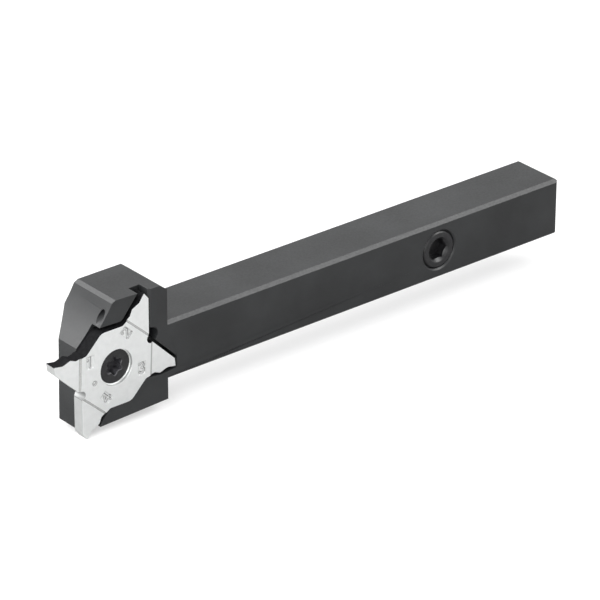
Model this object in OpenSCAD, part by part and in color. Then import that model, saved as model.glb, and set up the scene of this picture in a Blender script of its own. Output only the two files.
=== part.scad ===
// Right-hand grooving tool holder: a square shank with a taller head, a four-edge star insert
// laid in a side pocket and held by one countersunk screw, and drilled coolant passages.
// +X runs along the shank to its rear end, -Y is the side that the insert faces, +Z is up.
// The origin is the centre of the shank's rear end face. Inside place() the flank with the
// insert is y = 0 and the shank's base is z = 0.

/* [Shank] */
// Height of the square shank
shank_h = 12; // [11:0.5:16]
// Width of the square shank
shank_w = 12; // [11:0.5:16]
// Length from the rear end face to the cutting corner
tool_l = 125; // [100:1:150]
// Chamfer along the two upper edges of the shank
top_chamfer = 0.65; // [0.3:0.05:1]
// Chamfer along the two lower edges and round the rear end
edge_chamfer = 0.4; // [0.2:0.05:0.8]

/* [Insert] */
// Distance from the screw axis to the cutting corner along the insert's notch axis
tip_u = 11.25; // [10.8:0.05:11.8]
// Distance from the screw axis to the cutting corner across the notch axis
tip_w = 9.4; // [9.2:0.05:9.8]
// Thickness of the insert's body
insert_t = 3; // [2.8:0.1:3.4]
// Width of the cutting edge
cut_w = 2.5; // [1.5:0.1:2.6]
// Turn of the insert in the pocket, from the notch axis level
insert_turn = 22.5; // [21:0.5:24]
// Distance from the screw axis to each valley between rake sides
valley_w = 8.7; // [8.5:0.05:8.9]
// Distance from the screw axis to the centre of each side notch
notch_u = 8.8; // [8.6:0.05:9]
// Radius of each side notch
notch_r = 0.95; // [0.7:0.05:1.1]
// Length of the front clearance land under each cutting corner
land_l = 1.65; // [1.2:0.05:2]
// Clearance angle of that land
land_angle = 6.5; // [4:0.5:9]
// Distance from the cutting corner back to the chip groove
groove_l = 1.65; // [1.3:0.05:2]
// Depth of the chip groove below the cutting corner
groove_h = 1.05; // [0.8:0.05:1.2]
// Distance from the cutting corner back to the chip bump
bump_l = 3.5; // [3.2:0.05:3.7]
// Depth of the chip bump below the cutting corner
bump_h = 1.15; // [1:0.05:1.4]
// Distance from the cutting corner back to the foot of the chip bump
foot_l = 4.45; // [4.3:0.05:4.7]
// Depth of the foot of the chip bump below the cutting corner
foot_h = 2.1; // [1.9:0.05:2.3]
// Distance from the valley out to where the rake side turns up into the tip
valley_l = 4.55; // [4.2:0.05:4.9]
// Radius at each cutting corner
nose_r = 0.1; // [0.05:0.05:0.2]
// Radius of the chip groove
groove_r = 1.3; // [0.8:0.1:1.5]
// Radius that blends the bends of each rake side
bend_r = 0.35; // [0.2:0.05:0.4]
// Radius of each valley between rake sides
valley_r = 1.8; // [1:0.1:2.5]
// Distance from the screw axis to the step where the body thins to a tip
step_u = 8.85; // [8.6:0.05:9.1]
// Tilt of that step from the notch axis
step_angle = 25; // [20:1:28]
// Radius blending the body's step into each thinner tip
step_r = 0.9; // [0.5:0.05:1.2]
// Diameter of the insert's mouth round the screw head
mouth_d = 7.3; // [7.1:0.05:7.8]

/* [Clamp screw] */
// Nominal thread diameter of the clamp screw
screw_d = 5; // [4.6:0.1:5.2]
// Diameter of the countersunk head
screw_head_d = 6.9; // [6.6:0.1:7.2]
// Length of the clamp screw from its face to its end
screw_l = 9.5; // [7:0.5:10]
// Included angle of the countersunk seat
seat_angle = 60; // [50:5:70]
// Depth of the screw face below the insert face
screw_sink = 0.6; // [0.4:0.1:0.9]
// Across the points of the six-lobe drive socket
drive_d = 3.9; // [3.4:0.1:4.2]
// Across the hollows of the six-lobe drive socket
drive_root_d = 2.8; // [2.5:0.1:3]
// Depth of the six-lobe drive socket
drive_h = 1.9; // [1.2:0.1:2.2]

/* [Head] */
// Height of the head's top above the shank's base
head_top = 20; // [19.6:0.1:22]
// Depth of the head's underside below the shank's base, at the rear
head_drop = 4.2; // [3.8:0.1:5]
// Fall of the head's underside towards the front
drop_angle = 2; // [0:0.5:3]
// Distance from the screw axis back to the head's rear step
rear_x = 12.1; // [11.6:0.1:13]
// Distance from the screw axis forward to the front face, at its upper edge
front_x = 6.9; // [6.4:0.1:7.2]
// Height of the crease between the front face and the scooped slope
crease_z = 11.4; // [11:0.1:12]
// Forward lean of the front face below the crease
front_lean = 2.5; // [0:0.5:4]
// Radius of the scooped slope above the crease
scoop_r = 32; // [24:1:60]
// Distance from the screw axis back to the front edge of the head's top
top_x = 0.5; // [0.4:0.1:1.5]
// Width of the narrow chamfer along that edge
brow_w = 0.9; // [0.5:0.1:1.2]
// Fall of that narrow chamfer
brow_h = 0.45; // [0.3:0.05:0.7]
// Length of the head's rear top chamfer
rear_chamfer_l = 1.6; // [1:0.1:2]
// Fall of the head's rear top chamfer
rear_chamfer_h = 1.25; // [0.8:0.05:2]
// Length along the head of the corner cut at the back of the front face
corner_l = 4.2; // [3.4:0.1:5]
// Width across the head of that corner cut
corner_w = 3.6; // [3:0.1:4.4]
// Height of the cutting corner above the shank's base
cut_h = 10.9; // [10.6:0.1:11.2]

/* [Pocket] */
// Distance that the insert stands out of its pocket
proud = 0.1; // [0.05:0.05:0.3]
// Running gap between the insert and the walls that it seats on
seat_gap = 0.04; // [0.02:0.01:0.1]
// Open gap between the rake sides and the upper jaw
jaw_gap = 0.8; // [0.6:0.05:1]
// Gap between the lower tips' rake sides and the pocket wall
ledge_gap = 0.4; // [0.3:0.05:0.5]
// Distance from the screw axis to where the jaw's underside turns up
jaw_turn_x = 1.7; // [1.4:0.05:1.8]
// Radius of that turn
jaw_turn_r = 1; // [0.5:0.1:1.5]
// Rise of the jaw's underside behind that turn
jaw_rise = 52; // [50:0.5:54]
// Open groove behind the tip that faces the shank
groove_gap = 0.6; // [0.4:0.05:0.8]
// Radius of the corner relief at the side notch
relief_r = 1.45; // [1.2:0.05:1.6]
// Shift of that relief back from the corner of the walls
relief_shift = 0.5; // [0.3:0.05:0.7]
// Chamfer on the upright edge beside the upper tip
column_chamfer = 0.5; // [0.3:0.05:0.8]
// Side relief angle of the upper jaw
jaw_relief = 3; // [1:0.5:4]

/* [Coolant] */
// Core radius of the threaded inlet in the rear end face
inlet_r = 3.5; // [3:0.1:3.6]
// Depth of the threaded inlet
inlet_l = 10; // [8:0.5:14]
// Radius of the long channel in the shank
channel_r = 2; // [1.5:0.1:2.3]
// Radius of the drilling from the side port to that channel
port_core_r = 1.5; // [1:0.1:1.8]
// Diameter of the side plug
plug_d = 8; // [7.6:0.1:8.4]
// Length of the side plug
plug_l = 3.8; // [3.2:0.1:3.9]
// Distance from the rear end face to the side plug
plug_x = 31.5; // [24:0.5:60]
// Across the flats of the side plug's hexagon socket
plug_hex = 4; // [3.5:0.1:4.4]
// Depth of the side plug's hexagon socket
plug_hex_h = 2.4; // [1.8:0.1:2.6]
// Radius of the riser from the channel up into the head
riser_r = 1.2; // [1:0.05:1.3]
// Distance from the screw axis back to the riser's foot in the head's underside
riser_foot_x = 8.2; // [7.8:0.1:8.6]
// Distance of the cross bore below the head's top
cross_drop = 1.8; // [1.7:0.1:2]
// Radius of the cross bore in the upper jaw
cross_r = 0.8; // [0.7:0.05:0.85]
// Radius of the coolant outlet
outlet_r = 0.75; // [0.6:0.05:0.8]
// Distance of the coolant outlet from the flank
outlet_y = 1.75; // [1.6:0.05:2]
// Height of the coolant outlet's centre above the cutting corner
outlet_rise = 6; // [5.8:0.1:6.2]
// Length of the two press-in sealing plugs
seal_l = 2.5; // [2:0.1:3]

/* [Fits] */
// Radial clearance of the press-in sealing plugs
seal_gap = 0.01; // [0.01:0.01:0.03]
// Radial clearance of each thread in its hole
thread_gap = 0.05; // [0.02:0.01:0.1]

/* [Hidden] */
$fn = 96;
// Overlap of every cut past the face that it opens
past = 1;
// Chamfer at the mouth of every threaded hole and on every plug's rim
rim_chamfer = 0.35;

// A point given along and across the insert's notch axis, in the head's own X and Z
function turned(p) = [p.x * cos(insert_turn) - p.y * sin(insert_turn),
                      p.x * sin(insert_turn) + p.y * cos(insert_turn)];
// The vector made one unit long
function unit(v) = v / norm(v);
// An arc of radius r that rounds corner b between its neighbours a and c
function corner_arc(a, b, c, r) =
    let (to_a = unit(a - b), to_c = unit(c - b),
         half = acos(max(-1, min(1, to_a * to_c))) / 2,
         centre = b + unit(to_a + to_c) * r / sin(half),
         from = b + to_a * r / tan(half) - centre,
         to = b + to_c * r / tan(half) - centre,
         start = atan2(from.y, from.x),
         turn = (atan2(to.y, to.x) - start + 180 + 360) % 360 - 180,
         steps = max(2, ceil(abs(turn) / 12)))
    [for (k = [0:steps]) centre + r * [cos(start + turn * k / steps), sin(start + turn * k / steps)]];
// An outline of [x, y, radius] corners with each corner rounded
function rounded(corners) =
    let (n = len(corners))
    [for (k = [0:n - 1])
        let (a = corners[(k + n - 1) % n], b = corners[k], c = corners[(k + 1) % n])
        each (b.z > 0 ? corner_arc([a.x, a.y], [b.x, b.y], [c.x, c.y], b.z) : [[b.x, b.y]])];
// The same quarter outline flipped along, across, or both, in running order
function flipped(q, fx, fy) = [for (k = [0:len(q) - 1])
    let (p = q[fx * fy > 0 ? k : len(q) - 1 - k]) [fx * p.x, fy * p.y, p.z]];

// The screw axis, from the cutting corner that stands at the tool's front end
screw_x = -tool_l - turned([-tip_u, tip_w]).x;
screw_z = cut_h - turned([-tip_u, tip_w]).y;
// One quarter of the insert, from its notch round one tip to its valley: [along, across, radius]
land = [tip_u + land_l * sin(insert_turn - land_angle), tip_w - land_l * cos(insert_turn - land_angle)];
// The bends of the notch's bottom nearly meet, which makes it almost a half circle
notch_bend_r = 0.98 * notch_r;
notch_mouth_u = land.x - (land.y - notch_r) * tan(insert_turn);
quarter = [[notch_u - notch_r, notch_r, notch_bend_r],
           [notch_mouth_u, notch_r, bend_r],
           [land.x, land.y, 0],
           [tip_u, tip_w, nose_r],
           [tip_u - groove_l, tip_w - groove_h, groove_r],
           [tip_u - bump_l, tip_w - bump_h, bend_r],
           [tip_u - foot_l, tip_w - foot_h, bend_r],
           [valley_l, valley_w - valley_l * tan(insert_turn), 2 * bend_r]];
insert_outline = rounded(concat(quarter, [[0, valley_w, valley_r]], flipped(quarter, -1, 1),
                                flipped(quarter, -1, -1), [[0, -valley_w, valley_r]],
                                flipped(quarter, 1, -1)));
// The recess that makes each tip thinner than the body, and the run of its fillet
tip_recess = (insert_t - cut_w) / 2;
step_run = sqrt(step_r * step_r - pow(step_r - tip_recess, 2));

// The pocket's floor, and its seats against the two lower rake sides
pocket_y = insert_t - proud;
seat_w = valley_w + seat_gap / cos(insert_turn);
seat_mid = turned([0, -seat_w]);
seat_rear = turned([valley_l, valley_l * tan(insert_turn) - seat_w]);
seat_front = turned([-valley_l, valley_l * tan(insert_turn) - seat_w]);
// The walls a little way below the rake sides of the two lower tips
ledge_rear = turned([tip_u - bump_l, bump_h - tip_w - ledge_gap]);
ledge_front = turned([bump_l - tip_u, bump_h - tip_w - ledge_gap]);
ledge_end = turned([tip_u + seat_gap, -tip_w - ledge_gap]);
// The wall behind the upper tip, and the groove above the rear one
wall_x = turned(land).x + seat_gap;
groove_end = turned([land.x, -land.y]) + groove_gap * [cos(2 * insert_turn), sin(2 * insert_turn)];
wall_foot = [wall_x, groove_end.y + (groove_end.x - wall_x) * tan(90 - 2 * insert_turn)];
relief_at = wall_foot + [relief_shift, 0];
// The underside of the upper jaw
jaw_z = valley_w * cos(insert_turn) + jaw_gap;
jaw_top_x = jaw_turn_x + (head_top - screw_z - jaw_z) / tan(jaw_rise);

// The screw's face, the end of its countersink and its thread
screw_y = screw_sink - proud;
screw_r = screw_d / 2 - thread_gap;
cone_l = (screw_head_d / 2 - screw_r) / tan(seat_angle / 2);

// The corner where the front face and the underside of the head meet
front_low_z = -(head_drop + tan(drop_angle) * (rear_x + front_x + tan(front_lean) * crease_z))
              / (1 - tan(drop_angle) * tan(front_lean));
front_low_x = -front_x - tan(front_lean) * (crease_z - front_low_z);
// The slope above the crease is hollowed by a circle of radius scoop_r through both its ends
brow = [top_x - brow_w, head_top - brow_h];
crease = [-front_x, crease_z];
scoop_out = unit([crease.y - brow.y, brow.x - crease.x]);
scoop_centre = (brow + crease) / 2 + scoop_out * sqrt(scoop_r * scoop_r - pow(norm(brow - crease) / 2, 2));

// Coolant passages: along the middle of the shank, up the head, across the jaw and out at the slope
mid_y = shank_w / 2;
mid_z = shank_h / 2;
outlet_z = cut_h + outlet_rise;
outlet_x = scoop_centre.x + sqrt(scoop_r * scoop_r - pow(outlet_z - scoop_centre.y, 2));
outlet_aim = atan2(outlet_rise, outlet_x - turned([-tip_u, tip_w]).x);
cross_z = head_top - cross_drop;
cross_x = outlet_x + (cross_z - outlet_z) / tan(outlet_aim);
riser_foot_z = -head_drop - tan(drop_angle) * (rear_x - riser_foot_x);
riser_tilt = atan2(riser_foot_x - cross_x, cross_z - riser_foot_z);
riser_l = norm([riser_foot_x - cross_x, cross_z - riser_foot_z]);
channel_l = -screw_x - riser_foot_x + (mid_z - riser_foot_z) * tan(riser_tilt);
port_r = plug_d / 2;
drill_angle = 118;
// Depth of the plugs' faces below the surfaces that they close
plug_sink = 0.1;
seal_sink = 0.3;

// Moves the tool from its flank and base to the centre of its rear end face
module place() {
    translate([0, -mid_y, -mid_z]) children();
}

// Puts the screw axis at the origin of X, and its height at the origin of Z when lifted
module at_screw(lift = screw_z) {
    translate([screw_x, 0, lift]) children();
}

// Makes an X-Z outline a plate between two distances from the flank
module plate(y0, y1) {
    translate([0, y1, 0]) rotate([90, 0, 0]) linear_extrude(y1 - y0) children();
}

// A cylinder or cone along Y, from one distance from the flank to another
module side_rod(y0, y1, r0, r1) {
    translate([0, y0, 0]) rotate([-90, 0, 0]) cylinder(h = y1 - y0, r1 = r0, r2 = r1);
}

// Square bar with the wider chamfers above, and its rear end broken all round
module shank() {
    bar_l = -screw_x - rear_x + past;
    intersection() {
        translate([-bar_l, 0, 0]) rotate([90, 0, 90]) linear_extrude(bar_l)
            polygon([[edge_chamfer, 0], [shank_w - edge_chamfer, 0], [shank_w, edge_chamfer],
                     [shank_w, shank_h - top_chamfer], [shank_w - top_chamfer, shank_h],
                     [top_chamfer, shank_h], [0, shank_h - top_chamfer], [0, edge_chamfer]]);
        plate(-past, shank_w + past)
            polygon([[-bar_l - past, -past], [-edge_chamfer - past, -past], [0, edge_chamfer],
                     [0, shank_h - edge_chamfer], [-edge_chamfer - past, shank_h + past],
                     [-bar_l - past, shank_h + past]]);
        translate([0, 0, -past]) linear_extrude(shank_h + 2 * past)
            polygon([[-bar_l - past, -past], [-edge_chamfer - past, -past], [0, edge_chamfer],
                     [0, shank_w - edge_chamfer], [-edge_chamfer - past, shank_w + past],
                     [-bar_l - past, shank_w + past]]);
    }
}

// The head's side view: front face, slope, narrow brow chamfer, top, rear chamfer and underside
module head_outline() {
    difference() {
        polygon([[rear_x, -head_drop], [rear_x, head_top - rear_chamfer_h], [rear_x - rear_chamfer_l, head_top],
                 [top_x, head_top], brow, crease, [front_low_x, front_low_z]]);
        translate(scoop_centre) circle(r = scoop_r);
    }
}

// The head before its pocket and bores, with the upright corner cut at the back of its front face
module head() {
    far = [crease.x - corner_l, shank_w - 2 * corner_w];
    near = [crease.x + 2 * corner_l, shank_w + corner_w];
    difference() {
        at_screw(0) plate(0, shank_w) head_outline();
        at_screw(0) translate([0, 0, -head_top]) linear_extrude(3 * head_top)
            polygon([far, [far.x, near.y], near]);
    }
}

// Side view of all that is open beside the insert, from the screw axis
module pocket_outline() {
    far_x = front_low_x - 2 * tip_u;
    polygon(rounded([[wall_x, head_top, 0], [wall_x, wall_foot.y, 0],
                     [groove_end.x, groove_end.y, groove_gap / 2],
                     [ledge_end.x, groove_end.y - groove_gap, 0],
                     [ledge_end.x, ledge_end.y, ledge_gap / 2], [ledge_rear.x, ledge_rear.y, 0],
                     [seat_rear.x, seat_rear.y, 0], [seat_mid.x, seat_mid.y, 0],
                     [seat_front.x, seat_front.y, 0],
                     [ledge_front.x, ledge_front.y, 0], [ledge_front.x, -head_top, 0], [far_x, -head_top, 0],
                     [far_x, jaw_z, 0], [jaw_turn_x, jaw_z, jaw_turn_r], [jaw_top_x, head_top - screw_z, 0],
                     [jaw_top_x, head_top, 0]]));
    translate(relief_at) circle(r = relief_r);
}

// The insert's pocket, its corner relief, the chamfer beside the upper tip and the jaw's side relief
module pocket() {
    top = head_top + past;
    at_screw() plate(-past, pocket_y) pocket_outline();
    at_screw(screw_z + relief_at.y) linear_extrude(top - screw_z - relief_at.y) {
        polygon([[wall_x, column_chamfer], [wall_x + column_chamfer, 0], [wall_x + column_chamfer, -past],
                 [wall_x - past, -past], [wall_x - past, column_chamfer]]);
        polygon([[wall_x, 0], [wall_x, -past], [front_low_x - wall_x, -past],
                 [front_low_x - wall_x, (2 * wall_x - front_low_x) * tan(jaw_relief)]]);
    }
}

// Tapped hole for the clamp screw, right through, with a chamfer at its far end
module screw_hole() {
    at_screw() {
        side_rod(0, shank_w + past, screw_d / 2, screw_d / 2);
        side_rod(shank_w - rim_chamfer, shank_w + past, screw_d / 2, screw_d / 2 + rim_chamfer + past);
    }
}

// Puts what stands on Z at the riser's foot in the head's underside, leaning with the riser
module along_riser() {
    at_screw(riser_foot_z) translate([riser_foot_x, mid_y, 0]) rotate([0, -riser_tilt, 0]) children();
}

// Threaded inlet in the rear end face, its drill point and the channel along the shank
module inlet_and_channel() {
    drill_l = (inlet_r - channel_r) / tan(drill_angle / 2);
    translate([0, mid_y, mid_z]) rotate([0, -90, 0]) {
        translate([0, 0, -past]) cylinder(h = past + inlet_l, r = inlet_r);
        translate([0, 0, -past])
            cylinder(h = past + rim_chamfer, r1 = inlet_r + rim_chamfer + past, r2 = inlet_r);
        translate([0, 0, inlet_l]) cylinder(h = drill_l, r1 = inlet_r, r2 = channel_r);
        cylinder(h = channel_l, r = channel_r);
    }
}

// Threaded port in the flank, with the drilling that joins it to the channel
module side_port() {
    translate([-plug_x, 0, mid_z]) {
        side_rod(-past, plug_sink + plug_l, port_r, port_r);
        side_rod(-past, rim_chamfer, port_r + rim_chamfer + past, port_r);
        side_rod(0, mid_y, port_core_r, port_core_r);
    }
}

// Riser from the channel, cross bore through the jaw and outlet aimed at the cutting corner
module riser_and_outlet() {
    outlet_l = norm([cross_x - outlet_x, cross_z - outlet_z]);
    along_riser() translate([0, 0, -past]) cylinder(h = past + riser_l, r = riser_r);
    at_screw(cross_z) translate([cross_x, 0, 0]) side_rod(outlet_y, shank_w + past, cross_r, cross_r);
    at_screw(outlet_z) translate([outlet_x, outlet_y, 0]) rotate([0, 90 - outlet_aim, 0])
        translate([0, 0, -2 * past]) cylinder(h = 2 * past + outlet_l, r = outlet_r);
}

// The one-piece tool body
module holder_body() {
    color("dimgray") place() difference() {
        union() {
            shank();
            head();
        }
        pocket();
        screw_hole();
        inlet_and_channel();
        side_port();
        riser_and_outlet();
    }
}

// Takes the material off one tip, on the side that faces -Y, down to the thinner tip
module tip_step() {
    reach = tip_u + tip_w;
    translate([step_u, -proud, 0]) rotate([0, step_angle, 0]) plate_along_z(reach) {
        translate([step_run, -past]) square([reach, past + tip_recess]);
        intersection() {
            translate([0, -past]) square([step_run, past + tip_recess]);
            translate([step_run, tip_recess - step_r]) circle(r = step_r);
        }
    }
}

// The same on all four tips
module tip_steps() {
    for (flip_x = [0, 1]) for (flip_z = [0, 1])
        mirror([flip_x, 0, 0]) mirror([0, 0, flip_z]) tip_step();
}

// Makes an X-Y outline a bar that runs the same length up and down from the origin
module plate_along_z(reach) {
    translate([0, 0, -reach]) linear_extrude(2 * reach) children();
}

// The four-edge insert: a flat body that thins at each tip, with a countersunk hole
module insert() {
    color("silver") place() at_screw() difference() {
        rotate([0, -insert_turn, 0]) difference() {
            plate(-proud, pocket_y) polygon(insert_outline);
            tip_steps();
            translate([0, pocket_y - proud, 0]) mirror([0, 1, 0]) tip_steps();
        }
        side_rod(-proud - past, screw_y, mouth_d / 2, mouth_d / 2);
        side_rod(screw_y - seat_gap, screw_y + cone_l, screw_head_d / 2 + seat_gap, screw_r + seat_gap);
        side_rod(screw_y, pocket_y + past, screw_r + seat_gap, screw_r + seat_gap);
    }
}

// Radius of the six-lobe socket at an angle: a wave between its points and its hollows, one point upright
function lobe_radius(a) = (drive_d + drive_root_d + (drive_d - drive_root_d) * cos(6 * (a - 90))) / 4;

// Countersunk screw with a six-lobe socket and a chamfered end
module clamp_screw() {
    end_y = screw_y + screw_l;
    end_chamfer = screw_d / 10;
    color("dimgray") place() at_screw() difference() {
        union() {
            side_rod(screw_y, screw_y + cone_l, screw_head_d / 2, screw_r);
            side_rod(screw_y + cone_l, end_y - end_chamfer, screw_r, screw_r);
            side_rod(end_y - end_chamfer, end_y, screw_r, screw_r - end_chamfer);
        }
        plate(screw_y - past, screw_y + drive_h)
            polygon([for (a = [0:5:355]) lobe_radius(a) * [cos(a), sin(a)]]);
    }
}

// Socket plug screwed flush into the side port
module side_plug() {
    plug_r = port_r - thread_gap;
    socket_r = plug_hex / 2 / cos(30);
    color("dimgray") place() translate([-plug_x, plug_sink, mid_z]) difference() {
        union() {
            side_rod(0, rim_chamfer, plug_r - rim_chamfer, plug_r);
            side_rod(rim_chamfer, plug_l, plug_r, plug_r);
        }
        translate([0, plug_hex_h, 0]) rotate([90, 0, 0])
            cylinder(h = plug_hex_h + past, r = socket_r, $fn = 6);
        side_rod(-past, 2 * rim_chamfer, socket_r + rim_chamfer + past, socket_r - rim_chamfer);
    }
}

// Pin pressed into the riser's drilled foot
module riser_plug() {
    color("dimgray") place() along_riser()
        translate([0, 0, 2 * seal_sink]) cylinder(h = seal_l, r = riser_r - seal_gap);
}

// Pin pressed into the far end of the cross bore
module cross_plug() {
    color("dimgray") place() at_screw(cross_z) translate([cross_x, 0, 0])
        side_rod(shank_w - seal_sink - seal_l, shank_w - seal_sink, cross_r - seal_gap, cross_r - seal_gap);
}

holder_body();
insert();
clamp_screw();
side_plug();
riser_plug();
cross_plug();
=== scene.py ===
import math

import bmesh
import bpy
import numpy as np
from mathutils import Matrix, Vector


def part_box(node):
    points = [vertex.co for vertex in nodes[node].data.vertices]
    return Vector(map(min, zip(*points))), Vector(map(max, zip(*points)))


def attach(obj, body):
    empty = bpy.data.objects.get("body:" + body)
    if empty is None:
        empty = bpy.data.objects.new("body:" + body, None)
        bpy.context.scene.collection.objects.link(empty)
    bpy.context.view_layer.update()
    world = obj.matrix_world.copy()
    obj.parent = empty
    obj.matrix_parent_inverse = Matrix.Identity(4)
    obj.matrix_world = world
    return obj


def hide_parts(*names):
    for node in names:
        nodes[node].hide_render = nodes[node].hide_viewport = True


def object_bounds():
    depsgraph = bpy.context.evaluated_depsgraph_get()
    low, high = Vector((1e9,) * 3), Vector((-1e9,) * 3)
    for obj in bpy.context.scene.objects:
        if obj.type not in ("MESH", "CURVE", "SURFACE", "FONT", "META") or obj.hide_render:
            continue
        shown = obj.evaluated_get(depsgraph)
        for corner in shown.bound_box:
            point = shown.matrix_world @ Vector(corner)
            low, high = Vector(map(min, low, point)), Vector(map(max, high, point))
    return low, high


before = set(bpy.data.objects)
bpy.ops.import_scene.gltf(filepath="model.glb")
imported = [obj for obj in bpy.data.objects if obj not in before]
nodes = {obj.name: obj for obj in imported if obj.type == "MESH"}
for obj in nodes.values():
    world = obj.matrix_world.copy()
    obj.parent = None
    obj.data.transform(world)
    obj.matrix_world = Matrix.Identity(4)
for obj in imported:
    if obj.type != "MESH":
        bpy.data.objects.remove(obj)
cad_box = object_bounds()

# The tool body: one piece of tool steel, shank and head together, milled all over and burnished
# to a matt dark grey. Its edges are broken only slightly, so a thin round catches the light
# along each of them.
MM = 0.001
STEEL_DARK = (0.0098, 0.0104, 0.0110, 1)
STEEL_LIGHT = (0.0176, 0.0186, 0.0196, 1)
SATIN_HEIGHT = 0.0025 * MM
COLOUR_FROM, COLOUR_TO = 0.35, 0.65
ROUGHNESS_FROM, ROUGHNESS_TO = 0.3, 0.7
SOFT_ANGLE = math.radians(19)
JOIN_WITHIN = 1e-6
BODY_ROUND = 0.05 * MM


def bare_finish(name):
    """A new material that has only its output and one Principled shader; gives the material,
    its node tree and the shader."""
    material = bpy.data.materials.new(name)
    material.use_nodes = True
    tree = material.node_tree
    tree.nodes.clear()
    output = tree.nodes.new("ShaderNodeOutputMaterial")
    shader = tree.nodes.new("ShaderNodeBsdfPrincipled")
    tree.links.new(shader.outputs["BSDF"], output.inputs["Surface"])
    return material, tree, shader


def grain(tree, spots, detail):
    """A noise pattern on Object coordinates, with that many spots to the metre."""
    place = tree.nodes.new("ShaderNodeTexCoord")
    noise = tree.nodes.new("ShaderNodeTexNoise")
    noise.inputs["Scale"].default_value = spots
    noise.inputs["Detail"].default_value = detail
    tree.links.new(place.outputs["Object"], noise.inputs["Vector"])
    return noise


def blend_colours(tree, shader, noise, dark, light):
    """Base colour that runs from dark to light as the noise runs from COLOUR_FROM to COLOUR_TO."""
    ramp = tree.nodes.new("ShaderNodeValToRGB")
    for stop, position, colour in zip(ramp.color_ramp.elements, (COLOUR_FROM, COLOUR_TO),
                                      (dark, light)):
        stop.position = position
        stop.color = colour
    tree.links.new(noise.outputs["Fac"], ramp.inputs["Fac"])
    tree.links.new(ramp.outputs["Color"], shader.inputs["Base Color"])


def blend_roughness(tree, shader, noise, low, high):
    """Roughness that runs from low to high as the noise runs from ROUGHNESS_FROM to
    ROUGHNESS_TO."""
    span = tree.nodes.new("ShaderNodeMapRange")
    span.inputs["From Min"].default_value = ROUGHNESS_FROM
    span.inputs["From Max"].default_value = ROUGHNESS_TO
    span.inputs["To Min"].default_value = low
    span.inputs["To Max"].default_value = high
    tree.links.new(noise.outputs["Fac"], span.inputs["Value"])
    tree.links.new(span.outputs["Result"], shader.inputs["Roughness"])


def fine_bump(tree, shader, noise, height):
    """Lets the noise raise the surface by up to that height."""
    bump = tree.nodes.new("ShaderNodeBump")
    bump.inputs["Strength"].default_value = 1
    bump.inputs["Distance"].default_value = height
    tree.links.new(noise.outputs["Fac"], bump.inputs["Height"])
    tree.links.new(bump.outputs["Normal"], shader.inputs["Normal"])


def burnished_steel():
    """Matt burnished steel: near-black grey with faint blotches and a fine satin grain."""
    material, tree, shader = bare_finish("burnished_steel")
    blotches = grain(tree, spots=90, detail=3)
    blend_colours(tree, shader, blotches, STEEL_DARK, STEEL_LIGHT)
    satin = grain(tree, spots=2600, detail=4)
    blend_roughness(tree, shader, satin, low=0.36, high=0.46)
    fine_bump(tree, shader, satin, SATIN_HEIGHT)
    shader.inputs["Metallic"].default_value = 0.0
    shader.inputs["Specular IOR Level"].default_value = 0.4
    return material


def smooth_group():
    """Geometry nodes that shade a surface smooth and keep every edge sharper than SOFT_ANGLE."""
    group = bpy.data.node_groups.new("smooth_between_edges", "GeometryNodeTree")
    group.interface.new_socket("Geometry", in_out="INPUT", socket_type="NodeSocketGeometry")
    group.interface.new_socket("Geometry", in_out="OUTPUT", socket_type="NodeSocketGeometry")
    start, end = group.nodes.new("NodeGroupInput"), group.nodes.new("NodeGroupOutput")
    faces = group.nodes.new("GeometryNodeSetShadeSmooth")
    edges = group.nodes.new("GeometryNodeSetShadeSmooth")
    edges.domain = "EDGE"
    edges.inputs["Shade Smooth"].default_value = False
    angle = group.nodes.new("GeometryNodeInputMeshEdgeAngle")
    sharp = group.nodes.new("FunctionNodeCompare")
    sharp.operation = "GREATER_THAN"
    sharp.inputs["B"].default_value = SOFT_ANGLE
    group.links.new(start.outputs[0], faces.inputs["Geometry"])
    group.links.new(faces.outputs["Geometry"], edges.inputs["Geometry"])
    group.links.new(angle.outputs["Unsigned Angle"], sharp.inputs["A"])
    group.links.new(sharp.outputs["Result"], edges.inputs["Selection"])
    group.links.new(edges.outputs["Geometry"], end.inputs[0])
    return group


SMOOTH = smooth_group()


def joined(obj):
    """Joins the separate triangles of a node where their corners meet."""
    obj.modifiers.new("join_triangles", "WELD").merge_threshold = JOIN_WITHIN


def smooth_shading(obj):
    """Shades an object smooth between its sharp edges."""
    smooth = obj.modifiers.new("smooth_between_edges", "NODES")
    smooth.node_group = SMOOTH
    weighted = obj.modifiers.new("weighted_normals", "WEIGHTED_NORMAL")
    weighted.keep_sharp = True


def broken_edges(obj, width):
    """Joins a node's triangles, rounds its sharp edges by that width and shades the rest smooth."""
    joined(obj)
    bevel = obj.modifiers.new("broken_edges", "BEVEL")
    bevel.width = width
    bevel.segments = 2
    bevel.limit_method = "ANGLE"
    bevel.angle_limit = SOFT_ANGLE
    bevel.use_clamp_overlap = False
    bevel.miter_outer = "MITER_ARC"
    smooth_shading(obj)


def coat(obj, *finishes):
    """Gives an object these finishes in place of its own."""
    obj.data.materials.clear()
    for finish in finishes:
        obj.data.materials.append(finish)


holder_body = nodes["holder_body"]
BODY_STEEL = burnished_steel()
coat(holder_body, BODY_STEEL)
broken_edges(holder_body, BODY_ROUND)

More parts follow.
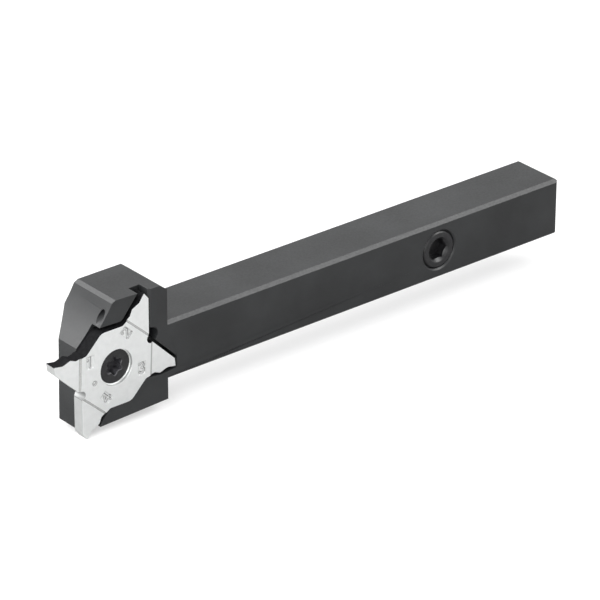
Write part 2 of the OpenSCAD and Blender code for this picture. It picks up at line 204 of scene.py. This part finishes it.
# The insert: cemented carbide, pressed and sintered, with four numbered cutting corners. Its
# faces and sides are ground bright, and the slopes keep the duller skin of the pressing. The
# sides, the mouth, the notches and the walls of the numbers take the ground carbide at lower
# tones, as painted shade, and the notches on the shank side of the screw take the black coating,
# also as painted shade. The rake sides, over which the chips run, have a black wear coating.
INSERT_TURN = math.radians(22.5)
MARK_U, MARK_W = 4.5 * MM, 4.6 * MM
MARK_RAISE = np.array([0, 0, 0.42 * MM])
MARK_SIDES = ((-1, 1), (1, 1), (1, -1), (-1, -1))
MARK_TURNS = [0, math.radians(45), 0, math.radians(45)]
MARK_STEPS = 72
DIP_WIDTH, DIP_HEIGHT, DIP_DEPTH, DIP_RUN = 1.9 * MM, 2.7 * MM, 0.10 * MM, 0.26 * MM
DIP_CLEAR = 0.5
DIGIT_HEIGHT, GROOVE_DEPTH, GROOVE_RUN = 2.0 * MM, 0.14 * MM, 0.2 * MM
STROKE = 0.08 * MM
ARC_POINTS = 13
MERGE_WITHIN = 1e-7
DIMPLE_U, DIMPLE_W = -5.3 * MM, 0.35 * MM
DIMPLE_R, DIMPLE_LIFT = 0.75 * MM, 0.6
FLARE_R, FLARE_DEPTH, FLARE_POINTS = 3.69 * MM, 0.10 * MM, 96
NOTCH_U, NOTCH_SPAN = 8.8 * MM, 1.3 * MM
MOUTH_REACH, RAKE_FROM, MARK_REACH = 4.2 * MM, 4.5 * MM, 0.75 * DIP_HEIGHT
STEEP, GROOVE_SIDE, NEARLY_FLAT, RAKE_FACING = 0.3, 0.93, 0.985, 0.5
CARBIDE_DARK, CARBIDE_LIGHT = (0.97, 0.985, 0.98), (1.02, 1.035, 1.03)
CARBIDE_SPREAD = 0.12
COATING_DARK, COATING_LIGHT = (0.005, 0.005, 0.0055, 1), (0.011, 0.011, 0.012, 1)
SKIN_DARK, SKIN_LIGHT = (0.27, 0.275, 0.27, 1), (0.33, 0.335, 0.33, 1)
screw_low, screw_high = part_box("clamp_screw")
AXIS_X, AXIS_Z = (screw_low.x + screw_high.x) / 2, (screw_low.z + screw_high.z) / 2
FACE_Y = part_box("insert")[0].y


def tinted(tint, tone):
    """The colour of a tint at that tone: each of its parts times the tone."""
    return (*(part * tone for part in tint), 1)


def ground_carbide(name, tone, roughness):
    """Ground carbide of that tone and roughness, with faint clouds and a fine grain."""
    material, tree, shader = bare_finish(name)
    clouds = grain(tree, spots=900, detail=3)
    blend_colours(tree, shader, clouds, tinted(CARBIDE_DARK, tone), tinted(CARBIDE_LIGHT, tone))
    fine = grain(tree, spots=5000, detail=3)
    blend_roughness(tree, shader, fine, low=roughness, high=roughness + CARBIDE_SPREAD)
    shader.inputs["Metallic"].default_value = 1.0
    return material


def black_coating():
    """The black wear coating of the rake sides, with faint blotches. It also stands as painted
    shade on the notch walls on the shank side of the screw.
    """
    material, tree, shader = bare_finish("black_coating")
    clouds = grain(tree, spots=1500, detail=4)
    blend_colours(tree, shader, clouds, COATING_DARK, COATING_LIGHT)
    blend_roughness(tree, shader, clouds, low=0.6, high=0.75)
    shader.inputs["Specular IOR Level"].default_value = 0.03
    return material


def pressed_skin():
    """The dull grey skin that pressing and sintering leave where no wheel reaches."""
    material, tree, shader = bare_finish("pressed_skin")
    clouds = grain(tree, spots=2500, detail=3)
    blend_colours(tree, shader, clouds, SKIN_DARK, SKIN_LIGHT)
    blend_roughness(tree, shader, clouds, low=0.5, high=0.6)
    return material


def in_scene(name, data):
    """A new object of that mesh, lamp or camera, linked to the scene."""
    obj = bpy.data.objects.new(name, data)
    bpy.context.scene.collection.objects.link(obj)
    return obj


def on_face(u, w, depth):
    """The place of a point given along and across the notch axis: both turned by INSERT_TURN
    about the screw axis, and sunk by depth below the insert's face."""
    x = AXIS_X + u * math.cos(INSERT_TURN) - w * math.sin(INSERT_TURN)
    z = AXIS_Z + u * math.sin(INSERT_TURN) + w * math.cos(INSERT_TURN)
    return np.array([x, FACE_Y + depth, z])


def punch(name, corners, faces):
    """A solid of these corners and faces that presses its shape out of the insert, with doubles
    merged and faces pointing outwards."""
    mesh = bpy.data.meshes.new(name)
    mesh.from_pydata(corners.tolist(), [], faces)
    solid = bmesh.new()
    solid.from_mesh(mesh)
    bmesh.ops.remove_doubles(solid, verts=solid.verts, dist=MERGE_WITHIN)
    bmesh.ops.recalc_face_normals(solid, faces=solid.faces)
    solid.to_mesh(mesh)
    solid.free()
    return in_scene(name, mesh)


def arc(x, z, radius, start, end):
    """Points of an arc about (x, z), evenly from one angle to another, in degrees from the
    right: the middle plus radius times the angle's cosine and sine."""
    turn = np.radians(np.linspace(start, end, ARC_POINTS))
    return np.stack([x + radius * np.cos(turn), z + radius * np.sin(turn)], axis=-1)


# The four numbers as bent lines, each in a box one unit high about its own middle.
DIGIT_LINES = (
    (np.array([[-0.3, 0.24], [-0.02, 0.5], [-0.02, -0.5]]),),
    (np.vstack([arc(0, 0.21, 0.28, 165, -35), [[-0.3, -0.5], [0.32, -0.5]]]),),
    (arc(-0.02, 0.26, 0.24, 150, -90), arc(-0.02, -0.24, 0.27, 90, -150)),
    (np.array([[0.12, -0.5], [0.12, 0.5], [-0.34, -0.18], [0.36, -0.18]]),),
)


def line_distance(x, z, lines):
    """Distance of points from the nearest of these bent lines: for each stretch from a to b the
    nearest place is a + t (b - a), with t = (p - a).(b - a) / |b - a|^2 held between 0 and 1."""
    nearest = np.full(x.shape, np.inf)
    for line in lines:
        for (ax, az), (bx, bz) in zip(line[:-1], line[1:]):
            t = ((x - ax) * (bx - ax) + (z - az) * (bz - az)) / ((bx - ax) ** 2 + (bz - az) ** 2)
            t = np.clip(t, 0, 1)
            nearest = np.minimum(nearest, np.hypot(x - ax - t * (bx - ax), z - az - t * (bz - az)))
    return nearest


def mark_punch(name, centre, lines, turn):
    """What the die presses out of the face, turned about the mark's middle: an oblong dip whose
    depth grows from nothing at its sides to DIP_DEPTH over DIP_RUN, and along the number's lines
    a groove that is GROOVE_DEPTH deeper up to STROKE from the line and rises to nothing over
    GROOVE_RUN. Outside the dip the punch stands clear of the face by DIP_CLEAR of that depth."""
    grid = np.linspace(-0.5, 0.5, MARK_STEPS) * (DIP_HEIGHT + DIP_RUN)
    x, z = np.meshgrid(grid, grid, indexing="ij")
    inside = np.minimum(DIP_WIDTH / 2 - np.abs(x), DIP_HEIGHT / 2 - np.abs(z))
    from_line = line_distance(x / DIGIT_HEIGHT, z / DIGIT_HEIGHT, lines) * DIGIT_HEIGHT
    groove = np.clip((STROKE + GROOVE_RUN - from_line) / GROOVE_RUN, 0, 1)
    depth = DIP_DEPTH * np.clip(inside / DIP_RUN, -DIP_CLEAR, 1) + GROOVE_DEPTH * groove
    bottom = np.stack([centre[0] + x * math.cos(turn) - z * math.sin(turn), FACE_Y + depth,
                       centre[2] + x * math.sin(turn) + z * math.cos(turn)], axis=-1)
    top = bottom.copy()
    top[..., 1] = FACE_Y - GROOVE_DEPTH
    number = np.arange(MARK_STEPS * MARK_STEPS).reshape(MARK_STEPS, MARK_STEPS)
    low = np.stack([number[:-1, :-1], number[1:, :-1], number[1:, 1:], number[:-1, 1:]], axis=-1)
    rim = np.concatenate([number[:-1, 0], number[-1, :-1], number[:0:-1, -1], number[0, :0:-1]])
    above = rim + number.size
    sides = np.stack([rim, np.roll(rim, -1), np.roll(above, -1), above], axis=-1)
    faces = [*low.reshape(-1, 4).tolist(), *sides.tolist(), above.tolist()]
    return punch(name, np.concatenate([bottom.reshape(-1, 3), top.reshape(-1, 3)]), faces)


def flare_punch():
    """A cone that breaks the edge of the insert's mouth: two rings about the screw axis, one
    FLARE_DEPTH above the face and as much wider than the other, which is as far below it."""
    turn = (np.arange(FLARE_POINTS) + 0.5) * 2 * math.pi / FLARE_POINTS
    rings = [np.stack([AXIS_X + radius * np.sin(turn), np.full(FLARE_POINTS, FACE_Y + depth),
                       AXIS_Z + radius * np.cos(turn)], axis=-1)
             for radius, depth in ((FLARE_R + FLARE_DEPTH / 2, -FLARE_DEPTH),
                                   (FLARE_R - FLARE_DEPTH / 2, FLARE_DEPTH))]
    first = np.arange(FLARE_POINTS)
    second = np.roll(first, -1)
    sides = np.stack([first, second, second + FLARE_POINTS, first + FLARE_POINTS], axis=-1)
    return punch("flare", np.concatenate(rings),
                 [*sides.tolist(), first.tolist(), (first + FLARE_POINTS).tolist()])


def dimple_punch():
    """A ball that dips into the insert's face beside the screw, its middle DIMPLE_LIFT of its
    radius above the face."""
    ball = bmesh.new()
    bmesh.ops.create_uvsphere(ball, u_segments=24, v_segments=16, radius=DIMPLE_R)
    mesh = bpy.data.meshes.new("dimple")
    ball.to_mesh(mesh)
    ball.free()
    place = on_face(DIMPLE_U, DIMPLE_W, -DIMPLE_LIFT * DIMPLE_R)
    mesh.transform(Matrix.Translation(place.tolist()))
    return in_scene("dimple", mesh)


def face_values(mesh, kind):
    """The normals or the centres of all faces of a mesh, one row to a face."""
    values = np.empty(len(mesh.polygons) * 3)
    mesh.polygons.foreach_get(kind, values)
    return values.reshape(-1, 3)


def carbide_finish(mesh, mark_places):
    """The finish of each face of the insert, as a number in the order of its finishes. It goes by
    lean, which is 1 where a face lies flat and 0 where it stands upright, by u and w along and
    across the notch axis, and by the distance from the screw axis and from the marks."""
    facing, middle = face_values(mesh, "normal"), face_values(mesh, "center")
    lean = np.abs(facing[:, 1])
    from_axis = middle - np.array([AXIS_X, 0, AXIS_Z])
    along = np.array([math.cos(INSERT_TURN), 0, math.sin(INSERT_TURN)])
    across = np.array([-math.sin(INSERT_TURN), 0, math.cos(INSERT_TURN)])
    u, w = from_axis @ along, from_axis @ across
    off_axis = np.hypot(from_axis[:, 0], from_axis[:, 2])
    past_mouth = off_axis > MOUTH_REACH
    upright = (lean < STEEP) & past_mouth
    slope = (lean > STEEP) & (lean < NEARLY_FLAT) & past_mouth
    mouth_wall = (lean < NEARLY_FLAT) & (off_axis < MOUTH_REACH)
    in_mark = np.any([np.hypot(*(middle - place)[:, ::2].T) < MARK_REACH
                      for place in mark_places], axis=0)
    notch = (np.abs(np.abs(u) - NOTCH_U) < NOTCH_SPAN) & (np.abs(w) < NOTCH_SPAN) & upright
    rake_side = ((np.sign(w) * (facing @ across) > RAKE_FACING) & (lean < STEEP)
                 & (off_axis > RAKE_FROM))
    # The notch walls on the u > 0 side, on the shank side of the screw, take the black coating as
    # painted shade.
    painted_shade_notch = notch & (u > 0)
    return np.select([rake_side | painted_shade_notch, in_mark & (lean < GROOVE_SIDE), in_mark & slope,
                      notch, upright, slope, mouth_wall],
                     [COATING_AND_PAINTED_SHADE, GROOVE_WALL, DIP_WALL, NOTCH_WALL, SIDE, SKIN, SIDE], FACE)


mark_places = [on_face(side_u * MARK_U, side_w * MARK_W, 0) + MARK_RAISE
               for side_u, side_w in MARK_SIDES]
punches = [dimple_punch(), flare_punch()]
for k, (place, lines, turn) in enumerate(zip(mark_places, DIGIT_LINES, MARK_TURNS)):
    punches.append(mark_punch(f"mark_{k + 1}", place, lines, turn))

blank = nodes["insert"].copy()
blank.data = nodes["insert"].data.copy()
blank.modifiers.clear()
bpy.context.scene.collection.objects.link(blank)
joined(blank)
for tool in punches:
    press = blank.modifiers.new(tool.name, "BOOLEAN")
    press.operation = "DIFFERENCE"
    press.solver = "EXACT"
    press.object = tool
smooth_shading(blank)
bpy.context.view_layer.update()
pressed = bpy.data.meshes.new_from_object(
    blank.evaluated_get(bpy.context.evaluated_depsgraph_get()))
for spent in [blank, *punches]:
    bpy.data.objects.remove(spent)
pressed.name = "star_insert"
star_insert = in_scene("star_insert", pressed)
FACE, COATING_AND_PAINTED_SHADE, SKIN, SIDE, NOTCH_WALL, GROOVE_WALL, DIP_WALL = range(7)
# The side, notch, groove and dip finishes are the ground carbide at lower tones than the faces:
# painted shade on the sides, the mouth, the notches and the walls of the marks.
coat(star_insert,
     ground_carbide("ground_face", tone=0.86, roughness=0.3),
     black_coating(),
     pressed_skin(),
     ground_carbide("ground_side", tone=0.55, roughness=0.45),
     ground_carbide("notch_painted_shade", tone=0.30, roughness=0.5),
     ground_carbide("groove_wall", tone=0.30, roughness=0.6),
     ground_carbide("dip_wall", tone=0.7, roughness=0.4))
finish = carbide_finish(pressed, mark_places)
pressed.polygons.foreach_set("material_index", finish.astype(np.int32))
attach(star_insert, "insert")
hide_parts("insert")

# The clamp screw: a countersunk M5 of hardened steel with a six-lobe socket, turned, thread-rolled
# and blackened. Inside the socket the black is painted lighter, as painted light on its walls. It
# runs through the insert into the tapped hole of the body.
PITCH = 0.8 * MM
SCREW_R = 2.45 * MM
THREAD_DEPTH = 0.45 * MM
ROOT_FLAT, FLANK = 0.2, 0.65
THREAD_START, THREAD_STOP, END_TAPER = 0.2 * MM, 0.5 * MM, 0.1 * MM
SEAT_L = 1.732 * MM
RIM = 0.08 * MM
AROUND = 120
PER_TURN = 16
MELT_WITHIN = 1e-8
DRIVE_LOBES = 6
DRIVE_R = 1.95 * MM
DRIVE_ROOT_R = 1.40 * MM
DRIVE_DEPTH = 1.9 * MM
DRIVE_DISH, DRIVE_TIP, DRIVE_EDGE = 0.1 * MM, 0.3 * MM, 0.1 * MM
SOCKET_FROM, SOCKET_PAST, SOCKET_WIDER = 0.01 * MM, 0.4 * MM, 0.02 * MM
OXIDE_DARK, OXIDE_LIGHT = (0.7, 0.7, 0.78), (1.4, 1.4, 1.54)
angles = np.arange(AROUND) * 2 * math.pi / AROUND


def black_oxide(name, tone):
    """Black oxide of that tone on hardened screw steel."""
    material, tree, shader = bare_finish(name)
    clouds = grain(tree, spots=900, detail=4)
    blend_colours(tree, shader, clouds, tinted(OXIDE_DARK, tone), tinted(OXIDE_LIGHT, tone))
    blend_roughness(tree, shader, clouds, low=0.32, high=0.42)
    shader.inputs["Specular IOR Level"].default_value = 0.4
    return material


def turned_solid(name, profile, closed):
    """Rings about the screw axis, one after another along a profile of (radius, place along Y)
    pairs, where each of the two is a number, a row with a value for each angle, or such rows for
    many rings. Closed joins the last ring to the first; else both ends are poles."""
    radii = np.vstack([radius + np.zeros(AROUND) for radius, place in profile])
    places = np.vstack([place + np.zeros(AROUND) for radius, place in profile])
    corners = np.stack([AXIS_X + radii * np.sin(angles), places,
                        AXIS_Z + radii * np.cos(angles)], axis=-1).reshape(-1, 3)
    rings = len(radii)
    k, a = np.meshgrid(np.arange(rings if closed else rings - 1), np.arange(AROUND), indexing="ij")
    k2, a2 = (k + 1) % rings, (a + 1) % AROUND
    faces = np.stack([k * AROUND + a, k * AROUND + a2, k2 * AROUND + a2, k2 * AROUND + a],
                     axis=-1).reshape(-1, 4)
    mesh = bpy.data.meshes.new(name)
    mesh.from_pydata(corners.tolist(), [], faces.tolist())
    solid = bmesh.new()
    solid.from_mesh(mesh)
    bmesh.ops.remove_doubles(solid, verts=solid.verts, dist=MERGE_WITHIN)
    bmesh.ops.dissolve_degenerate(solid, edges=solid.edges, dist=MELT_WITHIN)
    solid.to_mesh(mesh)
    solid.free()
    obj = in_scene(name, mesh)
    smooth_shading(obj)
    return obj


def thread_places(start, end, pitch):
    """Places along the axis for the rings of a thread, from start towards end, PER_TURN of them
    to each pitch, with one column for each angle."""
    step = math.copysign(pitch / PER_TURN, end - start)
    return np.arange(start, end, step)[:, None] * np.ones(AROUND)


def thread_radius(places, core, depth, pitch):
    """Radius of a right-hand thread: core plus depth times a wave that rises and falls once in
    each pitch along Y, flat at the crest and the root, and moves on by one pitch in each turn."""
    turn = places / pitch - angles / (2 * math.pi)
    wave = 1 - np.abs(2 * (turn % 1) - 1)
    return core + depth * np.clip((wave - ROOT_FLAT) / FLANK, 0, 1)


face_y, end_y = screw_low.y, screw_high.y
head_r = (screw_high.x - screw_low.x) / 2
drive_floor = face_y + DRIVE_DEPTH
lobes = (DRIVE_R + DRIVE_ROOT_R + (DRIVE_R - DRIVE_ROOT_R) * np.cos(DRIVE_LOBES * angles)) / 2
along = thread_places(face_y + SEAT_L + THREAD_START, end_y - THREAD_STOP, PITCH)
lobe_screw = turned_solid("lobe_screw", [
    (0, drive_floor + DRIVE_TIP),
    (0.5 * lobes, drive_floor + DRIVE_DISH),
    (lobes, drive_floor),
    (lobes, face_y + DRIVE_EDGE),
    (lobes + DRIVE_EDGE, face_y),
    (head_r - RIM, face_y),
    (head_r, face_y + RIM),
    (SCREW_R, face_y + SEAT_L),
    (thread_radius(along, SCREW_R - THREAD_DEPTH, THREAD_DEPTH, PITCH), along),
    (SCREW_R - THREAD_DEPTH - END_TAPER, end_y),
    (0, end_y),
], closed=False)
BLACK_OXIDE = black_oxide("black_oxide", tone=0.0085)
SOCKET_PAINTED_LIGHT = black_oxide("socket_painted_light", tone=0.045)
coat(lobe_screw, BLACK_OXIDE, SOCKET_PAINTED_LIGHT)
# The faces inside the socket take the lighter black: painted light on the socket's walls.
middle = face_values(lobe_screw.data, "center")
in_socket = ((middle[:, 1] > face_y + SOCKET_FROM) & (middle[:, 1] < drive_floor + SOCKET_PAST)
             & (np.hypot(middle[:, 0] - AXIS_X, middle[:, 2] - AXIS_Z) < DRIVE_R + SOCKET_WIDER))
lobe_screw.data.polygons.foreach_set("material_index", in_socket.astype(np.int32))
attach(lobe_screw, "clamp_screw")
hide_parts("clamp_screw")

# The tapped hole for that screw: a thread in the body's own steel, cut with a tap right through
# the head. Its ridges run between the screw's and stay a little clear of them.
HOLE_OUTER = 2.62 * MM
HOLE_CLEAR, HOLE_DEEPER = 0.07 * MM, 0.02 * MM
BACK_INSET, FLOOR_INSET = 0.4 * MM, 0.1 * MM
floor_y, back_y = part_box("insert")[1].y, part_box("holder_body")[1].y
inward = thread_places(back_y - BACK_INSET, floor_y + FLOOR_INSET, PITCH)
tapped_hole = turned_solid("tapped_hole", [
    (HOLE_OUTER, inward[-1]),
    (HOLE_OUTER, inward[0]),
    (thread_radius(inward, SCREW_R - THREAD_DEPTH + HOLE_CLEAR, THREAD_DEPTH + HOLE_DEEPER, PITCH),
     inward),
], closed=True)
coat(tapped_hole, BODY_STEEL)
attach(tapped_hole, "holder")

# The thread of the coolant inlet: cut with a tap into the steel of the rear end face, for an
# M8 x 1 fitting that feeds the drilled channel. It is worked out about the screw axis and then
# turned on to the shank's axis.
INLET_PITCH = 1.0 * MM
INLET_R, INLET_DEPTH, INLET_WALL = 3.5 * MM, 0.2 * MM, 0.1 * MM
INLET_FROM, INLET_TO = 9.2 * MM, 0.45 * MM
rear_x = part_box("holder_body")[1].x
inlet_along = thread_places(INLET_FROM, INLET_TO, INLET_PITCH)
inlet_thread = turned_solid("inlet_thread", [
    (INLET_R + INLET_WALL, inlet_along[-1]),
    (INLET_R + INLET_WALL, inlet_along[0]),
    (thread_radius(inlet_along, INLET_R, -INLET_DEPTH, INLET_PITCH), inlet_along),
], closed=True)
turned = np.empty(len(inlet_thread.data.vertices) * 3)
inlet_thread.data.vertices.foreach_get("co", turned)
turned = turned.reshape(-1, 3)
inlet_thread.data.vertices.foreach_set("co", np.stack(
    [rear_x - turned[:, 1], turned[:, 0] - AXIS_X, turned[:, 2] - AXIS_Z], axis=-1).ravel())
coat(inlet_thread, BODY_STEEL)
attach(inlet_thread, "holder")

# The plugs that close the drilled coolant passages, all of blackened steel: a threaded one with a
# hexagon socket, screwed into the shank's flank, and two plain pins pressed into the head.
PLUG_ROUND = 0.04 * MM
for name in ("side_plug", "riser_plug", "cross_plug"):
    coat(nodes[name], BLACK_OXIDE)
    broken_edges(nodes[name], PLUG_ROUND)

# The studio's floor: a plain pale sheet just under the tool's lowest tip. It shows nearly white
# to the camera and keeps a faint shadow of the tool.
FLOOR_GAP = 0.02 * MM
FLOOR_HALF = 6.0
FLOOR_GREY = (0.45, 0.45, 0.45, 1)
FLOOR_LIFT = 0.52
FLOOR_Z = cad_box[0].z - FLOOR_GAP
floor_mesh = bpy.data.meshes.new("floor")
floor_mesh.from_pydata([(-FLOOR_HALF, -FLOOR_HALF, FLOOR_Z), (FLOOR_HALF, -FLOOR_HALF, FLOOR_Z),
                        (FLOOR_HALF, FLOOR_HALF, FLOOR_Z), (-FLOOR_HALF, FLOOR_HALF, FLOOR_Z)],
                       [], [(0, 1, 2, 3)])
floor = in_scene("floor", floor_mesh)
floor_material, floor_tree, floor_shader = bare_finish("pale_floor")
floor_shader.inputs["Base Color"].default_value = FLOOR_GREY
floor_shader.inputs["Roughness"].default_value = 0.9
floor_shader.inputs["Specular IOR Level"].default_value = 0.0
floor_shader.inputs["Emission Color"].default_value = (1, 1, 1, 1)
light_path = floor_tree.nodes.new("ShaderNodeLightPath")
lift = floor_tree.nodes.new("ShaderNodeMath")
lift.operation = "MULTIPLY"
lift.inputs[1].default_value = FLOOR_LIFT
floor_tree.links.new(light_path.outputs["Is Camera Ray"], lift.inputs[0])
floor_tree.links.new(lift.outputs[0], floor_shader.inputs["Emission Strength"])
coat(floor, floor_material)

# The studio's light: an even pale room, which the camera and the tool's gloss see as white, and
# three soft square lamps. The large one stands high on the near side towards the rear end, one
# behind the far side, and one close in front of the head.
ROOM_STRENGTH, BACKDROP_STRENGTH = 0.35, 1.0
SHANK_MIDDLE, HEAD_MIDDLE = Vector((-0.0625, 0, 0)), Vector((-0.11, 0, 0.004))


def plain_light(tree, strength):
    """A white background of that strength."""
    background = tree.nodes.new("ShaderNodeBackground")
    background.inputs["Color"].default_value = (1, 1, 1, 1)
    background.inputs["Strength"].default_value = strength
    return background.outputs["Background"]


def softbox(name, aim, direction, distance, side, watts):
    """A square area lamp that far from its aim in that direction, facing it."""
    lamp = bpy.data.lights.new(name, "AREA")
    lamp.shape = "SQUARE"
    lamp.size = side
    lamp.energy = watts
    obj = in_scene(name, lamp)
    away = Vector(direction).normalized()
    obj.location = aim + away * distance
    obj.rotation_mode = "QUATERNION"
    obj.rotation_quaternion = away.to_track_quat("Z", "Y")
    obj.visible_camera = False


world = bpy.data.worlds.new("studio")
world.use_nodes = True
bpy.context.scene.world = world
world_tree = world.node_tree
world_tree.nodes.clear()
path = world_tree.nodes.new("ShaderNodeLightPath")
sees = path.outputs["Is Camera Ray"]
for ray in ("Is Glossy Ray", "Is Transmission Ray"):
    either = world_tree.nodes.new("ShaderNodeMath")
    either.operation = "MAXIMUM"
    world_tree.links.new(sees, either.inputs[0])
    world_tree.links.new(path.outputs[ray], either.inputs[1])
    sees = either.outputs[0]
mix = world_tree.nodes.new("ShaderNodeMixShader")
world_out = world_tree.nodes.new("ShaderNodeOutputWorld")
world_tree.links.new(sees, mix.inputs["Fac"])
world_tree.links.new(plain_light(world_tree, ROOM_STRENGTH), mix.inputs[1])
world_tree.links.new(plain_light(world_tree, BACKDROP_STRENGTH), mix.inputs[2])
world_tree.links.new(mix.outputs["Shader"], world_out.inputs["Surface"])

softbox("key_lamp", SHANK_MIDDLE, (0.571, -0.451, 0.686), distance=2.0, side=1.3, watts=34)
softbox("back_lamp", SHANK_MIDDLE, (-0.3, 0.69, 0.66), distance=0.9, side=0.8, watts=10)
softbox("head_lamp", HEAD_MIDDLE, (-0.9, -0.3, 0.4), distance=0.6, side=0.7, watts=7.5)

# The camera stands where the photograph was taken from: far off with a long lens, so that
# the tool's edges hardly converge.
CAMERA_AT = (-0.51089, -0.53944, 0.35111)
AZIMUTH, ELEVATION, ROLL = math.radians(-39.769), math.radians(26.814), math.radians(0.258)
SENSOR_MM, LENS_MM = 36, 244.55
camera_data = bpy.data.cameras.new("camera")
camera_data.sensor_width = SENSOR_MM
camera_data.lens = LENS_MM
camera_data.clip_start = 0.01
camera_data.clip_end = 100
camera = in_scene("camera", camera_data)
back = Vector((math.sin(AZIMUTH) * math.cos(ELEVATION), -math.cos(AZIMUTH) * math.cos(ELEVATION),
               math.sin(ELEVATION)))
sideways = Vector((0, 0, 1)).cross(back).normalized()
upwards = back.cross(sideways)
right = sideways * math.cos(ROLL) + upwards * math.sin(ROLL)
up = back.cross(right)
camera.matrix_world = Matrix.Translation(CAMERA_AT) @ Matrix(
    ((right.x, up.x, back.x), (right.y, up.y, back.y), (right.z, up.z, back.z))).to_4x4()
bpy.context.scene.camera = camera
bpy.context.scene.view_settings.view_transform = "Standard"
